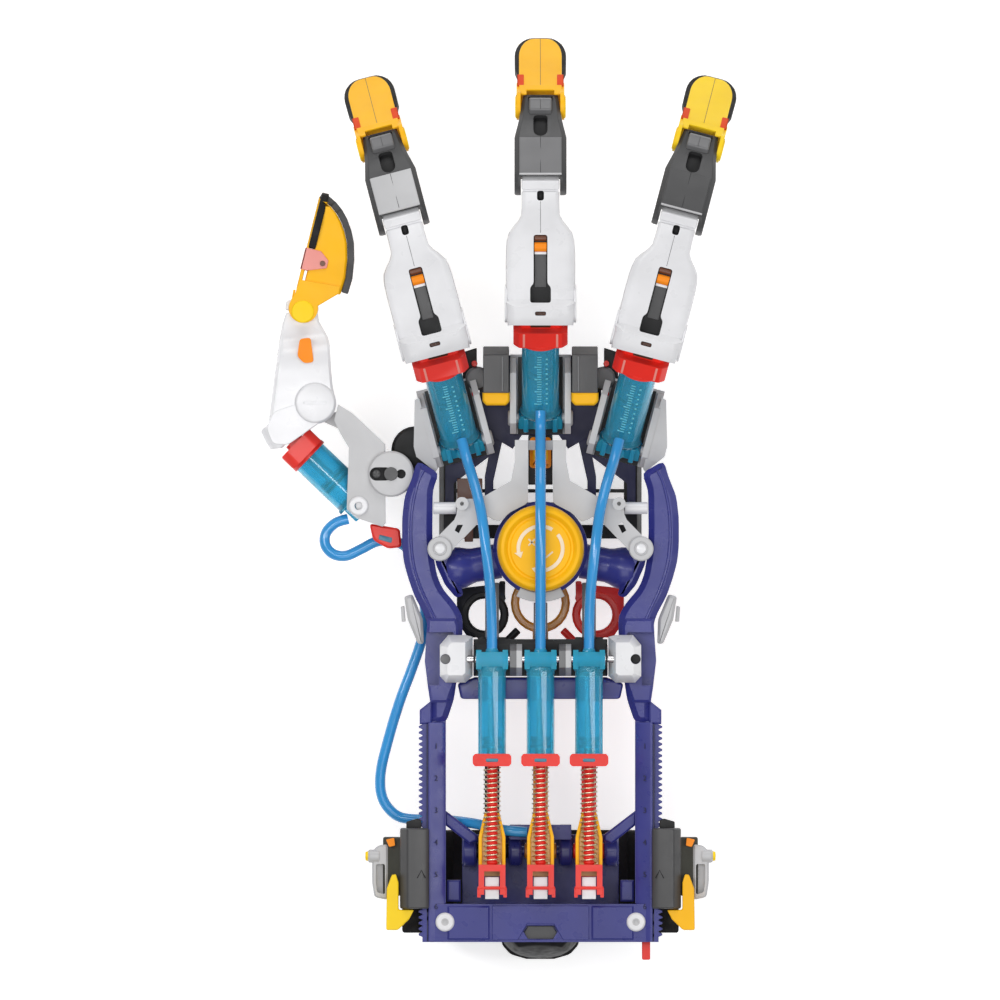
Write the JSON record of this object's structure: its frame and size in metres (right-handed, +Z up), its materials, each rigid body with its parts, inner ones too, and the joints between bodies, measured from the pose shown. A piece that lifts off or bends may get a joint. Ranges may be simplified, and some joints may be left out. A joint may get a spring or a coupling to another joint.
{
  "type": "wearable hydraulic hand kit",
  "caption": "Wearable toy hydraulic hand: thumb and fingers closed by small cylinders, hoses to piston levers with finger rings, toothed side rails and a sliding forearm cuff.",
  "frame": {"origin": "centre of the flat underside of the palm cradle, which with the forearm cuff carries the part on a table", "axes": "+X to the wearer's right, +Y towards the fingertips, +Z up out of the back of the hand"},
  "size_m": [0.2074, 0.4019, 0.1079],
  "materials": {
    "navy": "satin moulded navy plastic",
    "light_grey": "satin moulded light grey plastic",
    "white": "satin moulded white plastic",
    "dark_grey": "satin moulded dark grey plastic",
    "black": "matte black plastic",
    "red": "satin moulded red plastic",
    "yellow": "satin moulded yellow plastic",
    "orange": "satin moulded orange plastic",
    "blue_clear": "clear blue tube",
    "hose_blue": "soft blue tubing",
    "steel": "bright steel"
  },
  "bodies": {
    "frame": {"left_side_frame": "navy", "right_side_frame": "navy", "base_beam": "navy", "wrist_crossbar": "black", "frame_crossbar": "navy", "left_corner_block": "white", "right_corner_block": "white", "cylinder_axle": "steel", "knuckle_plate": "black", "left_knuckle_box": "dark_grey", "right_knuckle_box": "dark_grey", "index_bracket": "light_grey", "middle_bracket": "light_grey", "ring_bracket": "light_grey", "palm_cradle": "black", "wrist_hub": "navy", "hub_bracket": "light_grey", "thumb_mount": "dark_grey", "index_hose": "hose_blue", "middle_hose": "hose_blue", "ring_hose": "hose_blue", "thumb_hose": "hose_blue"},
    "dial": {"dial_knob": "yellow"},
    "cuff": {"arm_cuff": "black", "left_slider": "dark_grey", "right_slider": "dark_grey"},
    "left_latch": {"left_latch": "yellow"},
    "right_latch": {"right_latch": "yellow"},
    "index_lever": {"index_lever": "black"},
    "index_master": {"index_master_barrel": "blue_clear"},
    "index_piston": {"index_piston_rod": "red", "index_spring": "steel"},
    "index_finger": {"index_proximal": "white"},
    "index_middle": {"index_middle_segment": "dark_grey"},
    "index_fingertip": {"index_tip": "yellow"},
    "index_slave": {"index_slave_barrel": "blue_clear"},
    "index_push_rod": {"index_slave_rod": "red"},
    "middle_lever": {"middle_lever": "orange"},
    "middle_master": {"middle_master_barrel": "blue_clear"},
    "middle_piston": {"middle_piston_rod": "red", "middle_spring": "steel"},
    "middle_finger": {"middle_proximal": "white"},
    "middle_middle": {"middle_middle_segment": "dark_grey"},
    "middle_fingertip": {"middle_tip": "yellow"},
    "middle_slave": {"middle_slave_barrel": "blue_clear"},
    "middle_push_rod": {"middle_slave_rod": "red"},
    "ring_lever": {"ring_lever": "red"},
    "ring_master": {"ring_master_barrel": "blue_clear"},
    "ring_piston": {"ring_piston_rod": "red", "ring_spring": "steel"},
    "ring_finger": {"ring_proximal": "white"},
    "ring_middle": {"ring_middle_segment": "dark_grey"},
    "ring_fingertip": {"ring_tip": "yellow"},
    "ring_slave": {"ring_slave_barrel": "blue_clear"},
    "ring_push_rod": {"ring_slave_rod": "red"},
    "thumb_base": {"thumb_bracket": "light_grey"},
    "thumb_segment": {"thumb_proximal": "white"},
    "thumb_end": {"thumb_tip": "yellow"},
    "thumb_slave": {"thumb_slave_barrel": "blue_clear"},
    "thumb_push_rod": {"thumb_slave_rod": "red"}
  },
  "joints": [
    {"name": "dial_turn", "type": "hinge", "parent": "frame", "child": "dial", "pos_m": [0, -0.0212, 0.09], "axis": [0, 0, 1], "range_deg": [-135, 135]},
    {"name": "cuff_slide", "type": "slide", "parent": "frame", "child": "cuff", "axis": [0, 1, 0], "range_m": [-0.008, 0.018], "deforming": ["thumb_hose"]},
    {"name": "left_latch_turn", "type": "hinge", "parent": "cuff", "child": "left_latch", "pos_m": [-0.064, -0.165, 0.088], "axis": [0, 0, -1], "range_deg": [0, 25]},
    {"name": "right_latch_turn", "type": "hinge", "parent": "cuff", "child": "right_latch", "pos_m": [0.064, -0.165, 0.088], "axis": [0, 0, 1], "range_deg": [0, 25]},
    {"name": "index_lever_pull", "type": "hinge", "parent": "frame", "child": "index_lever", "pos_m": [-0.021, -0.1524, 0.068], "axis": [-1, 0, 0], "range_deg": [0, 20]},
    {"name": "index_master_tilt", "type": "hinge", "parent": "frame", "child": "index_master", "pos_m": [-0.021, -0.0691, 0.098], "axis": [-1, 0, 0], "range_deg": [0, 2.54]},
    {"name": "index_piston_slide", "type": "slide", "parent": "index_master", "child": "index_piston", "axis": [0, 1, 0], "range_m": [0, 0.0114], "deforming": ["index_spring"]},
    {"name": "index_curl", "type": "hinge", "parent": "frame", "child": "index_finger", "pos_m": [-0.04892, 0.07931, 0.08], "axis": [-0.9673, -0.2538, 0], "range_deg": [0, 50.5]},
    {"name": "index_middle_curl", "type": "hinge", "parent": "index_finger", "child": "index_middle", "pos_m": [-0.05942, 0.11936, 0.08], "axis": [-0.9673, -0.2538, 0], "range_deg": [0, 45.5]},
    {"name": "index_tip_curl", "type": "hinge", "parent": "index_middle", "child": "index_fingertip", "pos_m": [-0.06877, 0.15497, 0.06437], "axis": [-0.9673, -0.2538, 0], "range_deg": [0, 30.5]},
    {"name": "index_slave_tilt", "type": "hinge", "parent": "frame", "child": "index_slave", "pos_m": [-0.0343, 0.0236, 0.066], "axis": [-0.9673, -0.2538, 0], "range_deg": [0, 4.37], "deforming": ["index_hose"]},
    {"name": "index_slave_stroke", "type": "slide", "parent": "index_slave", "child": "index_push_rod", "axis": [-0.2158, 0.8227, 0.5258], "range_m": [0, 0.01533]},
    {"name": "middle_lever_pull", "type": "hinge", "parent": "frame", "child": "middle_lever", "pos_m": [0, -0.1524, 0.068], "axis": [-1, 0, 0], "range_deg": [0, 20]},
    {"name": "middle_master_tilt", "type": "hinge", "parent": "frame", "child": "middle_master", "pos_m": [0, -0.0691, 0.098], "axis": [-1, 0, 0], "range_deg": [0, 2.54]},
    {"name": "middle_piston_slide", "type": "slide", "parent": "middle_master", "child": "middle_piston", "axis": [0, 1, 0], "range_m": [0, 0.0114], "deforming": ["middle_spring"]},
    {"name": "middle_curl", "type": "hinge", "parent": "frame", "child": "middle_finger", "pos_m": [0, 0.093, 0.08], "axis": [-1, 0, 0], "range_deg": [0, 50.5]},
    {"name": "middle_middle_curl", "type": "hinge", "parent": "middle_finger", "child": "middle_middle", "pos_m": [0, 0.1344, 0.08], "axis": [-1, 0, 0], "range_deg": [0, 45.5]},
    {"name": "middle_tip_curl", "type": "hinge", "parent": "middle_middle", "child": "middle_fingertip", "pos_m": [0, 0.17122, 0.06437], "axis": [-1, 0, 0], "range_deg": [0, 30.5]},
    {"name": "middle_slave_tilt", "type": "hinge", "parent": "frame", "child": "middle_slave", "pos_m": [0, 0.0354, 0.066], "axis": [-1, 0, 0], "range_deg": [0, 4.37], "deforming": ["middle_hose"]},
    {"name": "middle_slave_stroke", "type": "slide", "parent": "middle_slave", "child": "middle_push_rod", "axis": [0, 0.8506, 0.5258], "range_m": [0, 0.01533]},
    {"name": "ring_lever_pull", "type": "hinge", "parent": "frame", "child": "ring_lever", "pos_m": [0.021, -0.1524, 0.068], "axis": [-1, 0, 0], "range_deg": [0, 20]},
    {"name": "ring_master_tilt", "type": "hinge", "parent": "frame", "child": "ring_master", "pos_m": [0.021, -0.0691, 0.098], "axis": [-1, 0, 0], "range_deg": [0, 2.54]},
    {"name": "ring_piston_slide", "type": "slide", "parent": "ring_master", "child": "ring_piston", "axis": [0, 1, 0], "range_m": [0, 0.0114], "deforming": ["ring_spring"]},
    {"name": "ring_curl", "type": "hinge", "parent": "frame", "child": "ring_finger", "pos_m": [0.04892, 0.07931, 0.08], "axis": [-0.9673, 0.2538, 0], "range_deg": [0, 50.5]},
    {"name": "ring_middle_curl", "type": "hinge", "parent": "ring_finger", "child": "ring_middle", "pos_m": [0.05942, 0.11936, 0.08], "axis": [-0.9673, 0.2538, 0], "range_deg": [0, 45.5]},
    {"name": "ring_tip_curl", "type": "hinge", "parent": "ring_middle", "child": "ring_fingertip", "pos_m": [0.06877, 0.15497, 0.06437], "axis": [-0.9673, 0.2538, 0], "range_deg": [0, 30.5]},
    {"name": "ring_slave_tilt", "type": "hinge", "parent": "frame", "child": "ring_slave", "pos_m": [0.0343, 0.0236, 0.066], "axis": [-0.9673, 0.2538, 0], "range_deg": [0, 4.37], "deforming": ["ring_hose"]},
    {"name": "ring_slave_stroke", "type": "slide", "parent": "ring_slave", "child": "ring_push_rod", "axis": [0.2158, 0.8227, 0.5258], "range_m": [0, 0.01533]},
    {"name": "thumb_swing", "type": "hinge", "parent": "frame", "child": "thumb_base", "pos_m": [-0.0648, 0.0111, 0.076], "axis": [0, 0, -1], "range_deg": [-17, 2]},
    {"name": "thumb_curl", "type": "hinge", "parent": "thumb_base", "child": "thumb_segment", "pos_m": [-0.0977, 0.0419, 0.066], "axis": [0, 0, -1], "range_deg": [-5, 5]},
    {"name": "thumb_tip_curl", "type": "hinge", "parent": "thumb_segment", "child": "thumb_end", "pos_m": [-0.10285, 0.08298, 0.066], "axis": [0, 0, -1], "range_deg": [-4.8, 4.8]},
    {"name": "thumb_slave_tilt", "type": "hinge", "parent": "thumb_base", "child": "thumb_slave", "pos_m": [-0.07811, -0.00261, 0.066], "axis": [0, 0, -1], "range_deg": [-1, 1]},
    {"name": "thumb_slave_stroke", "type": "slide", "parent": "thumb_slave", "child": "thumb_push_rod", "axis": [-0.7209, 0.6931, 0], "range_m": [-0.0018, 0.0018]}
  ],
  "couplings": [
    {"joint": "index_master_tilt", "follows": "index_lever_pull", "ratio": 0.11711},
    {"joint": "index_piston_slide", "follows": "index_lever_pull", "m_per_rad": 0.031914},
    {"joint": "index_curl", "follows": "index_lever_pull", "ratio": 2.5},
    {"joint": "index_middle_curl", "follows": "index_lever_pull", "ratio": 2.25},
    {"joint": "index_tip_curl", "follows": "index_lever_pull", "ratio": 1.5},
    {"joint": "index_slave_tilt", "follows": "index_lever_pull", "ratio": 0.20351},
    {"joint": "index_slave_stroke", "follows": "index_lever_pull", "m_per_rad": 0.043045},
    {"joint": "middle_master_tilt", "follows": "middle_lever_pull", "ratio": 0.11711},
    {"joint": "middle_piston_slide", "follows": "middle_lever_pull", "m_per_rad": 0.031914},
    {"joint": "middle_curl", "follows": "middle_lever_pull", "ratio": 2.5},
    {"joint": "middle_middle_curl", "follows": "middle_lever_pull", "ratio": 2.25},
    {"joint": "middle_tip_curl", "follows": "middle_lever_pull", "ratio": 1.5},
    {"joint": "middle_slave_tilt", "follows": "middle_lever_pull", "ratio": 0.20351},
    {"joint": "middle_slave_stroke", "follows": "middle_lever_pull", "m_per_rad": 0.043045},
    {"joint": "ring_master_tilt", "follows": "ring_lever_pull", "ratio": 0.11711},
    {"joint": "ring_piston_slide", "follows": "ring_lever_pull", "m_per_rad": 0.031914},
    {"joint": "ring_curl", "follows": "ring_lever_pull", "ratio": 2.5},
    {"joint": "ring_middle_curl", "follows": "ring_lever_pull", "ratio": 2.25},
    {"joint": "ring_tip_curl", "follows": "ring_lever_pull", "ratio": 1.5},
    {"joint": "ring_slave_tilt", "follows": "ring_lever_pull", "ratio": 0.20351},
    {"joint": "ring_slave_stroke", "follows": "ring_lever_pull", "m_per_rad": 0.043045},
    {"joint": "thumb_tip_curl", "follows": "thumb_curl", "ratio": 0.85714},
    {"joint": "thumb_slave_tilt", "follows": "thumb_curl", "ratio": 0.10122},
    {"joint": "thumb_slave_stroke", "follows": "thumb_curl", "m_per_rad": 0.017497}
  ]
}
